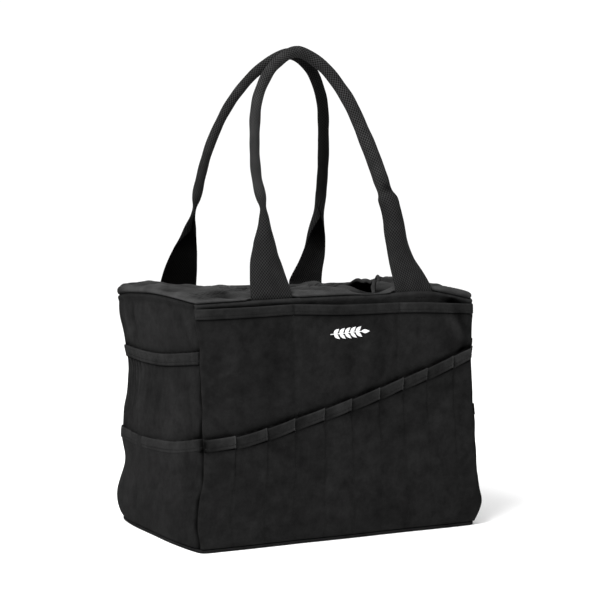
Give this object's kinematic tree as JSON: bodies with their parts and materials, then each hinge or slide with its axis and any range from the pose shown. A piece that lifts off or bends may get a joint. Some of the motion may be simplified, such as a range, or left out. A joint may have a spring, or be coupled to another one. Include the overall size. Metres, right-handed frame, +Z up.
{
  "type": "garden tool bag",
  "caption": "Open canvas garden tool bag with a flat base, outside tool pockets on every side, a gathered collar and carrying handles that swing at the rim.",
  "frame": {"origin": "on the floor, under the middle of the bag", "axes": "+Z up through the handles, +X from the left end to the right end, -Y out of the front with the slanting tool pocket"},
  "size_m": [0.3426, 0.229, 0.5359],
  "materials": {
    "canvas": "matte black heavy cotton canvas",
    "pocket_canvas": "matte black heavy cotton canvas",
    "collar_cloth": "matte black light cotton, gathered",
    "binding_tape": "black woven twill tape",
    "webbing": "black cotton webbing with a coarse weave",
    "thread": "black sewing thread",
    "lining": "matte black cotton",
    "board": "dark grey board",
    "elastic": "black woven elastic",
    "cord": "black cotton cord"
  },
  "bodies": {
    "bag": {"front_wall": "canvas", "back_wall": "canvas", "left_end_wall": "canvas", "right_end_wall": "canvas", "base_panel": "canvas", "corner_seam_front_left": "canvas", "corner_seam_front_right": "canvas", "corner_seam_back_left": "canvas", "corner_seam_back_right": "canvas", "rim_hem": "canvas", "front_pocket_panel": "pocket_canvas", "tool_pocket_panel": "pocket_canvas", "back_pocket_panel": "pocket_canvas", "left_upper_pocket_panel": "pocket_canvas", "left_lower_pocket_panel": "pocket_canvas", "right_upper_pocket_panel": "pocket_canvas", "right_lower_pocket_panel": "pocket_canvas", "collar": "collar_cloth", "collar_casing": "collar_cloth", "front_pocket_binding": "binding_tape", "tool_pocket_binding": "binding_tape", "back_pocket_binding": "binding_tape", "left_upper_pocket_binding": "binding_tape", "left_lower_pocket_binding": "binding_tape", "right_upper_pocket_binding": "binding_tape", "right_lower_pocket_binding": "binding_tape", "front_handle_anchor_left": "webbing", "front_handle_anchor_right": "webbing", "back_handle_anchor_left": "webbing", "back_handle_anchor_right": "webbing", "front_pocket_divider_left": "thread", "front_pocket_divider_right": "thread", "back_pocket_divider_left": "thread", "back_pocket_divider_right": "thread", "left_lower_pocket_divider": "thread", "right_lower_pocket_divider": "thread", "tool_slot_divider_1": "thread", "tool_slot_divider_2": "thread", "tool_slot_divider_3": "thread", "tool_slot_divider_4": "thread", "tool_slot_divider_5": "thread", "tool_slot_divider_6": "thread", "tool_slot_divider_7": "thread", "tool_slot_divider_8": "thread", "tool_slot_divider_9": "thread", "base_lining": "lining", "base_board": "board", "collar_elastic": "elastic", "left_upper_pocket_elastic": "elastic", "right_upper_pocket_elastic": "elastic"},
    "front_handle": {"front_handle_webbing": "webbing", "front_handle_core": "cord"},
    "back_handle": {"back_handle_webbing": "webbing", "back_handle_core": "cord"}
  },
  "joints": [
    {"name": "front_handle_swing", "type": "hinge", "parent": "bag", "child": "front_handle", "pos_m": [0.007, -0.1002, 0.2665], "axis": [1, 0, 0], "range_deg": [0, 130]},
    {"name": "back_handle_swing", "type": "hinge", "parent": "bag", "child": "back_handle", "pos_m": [-0.013, 0.1058, 0.2665], "axis": [-1, 0, 0], "range_deg": [0, 130]}
  ]
}
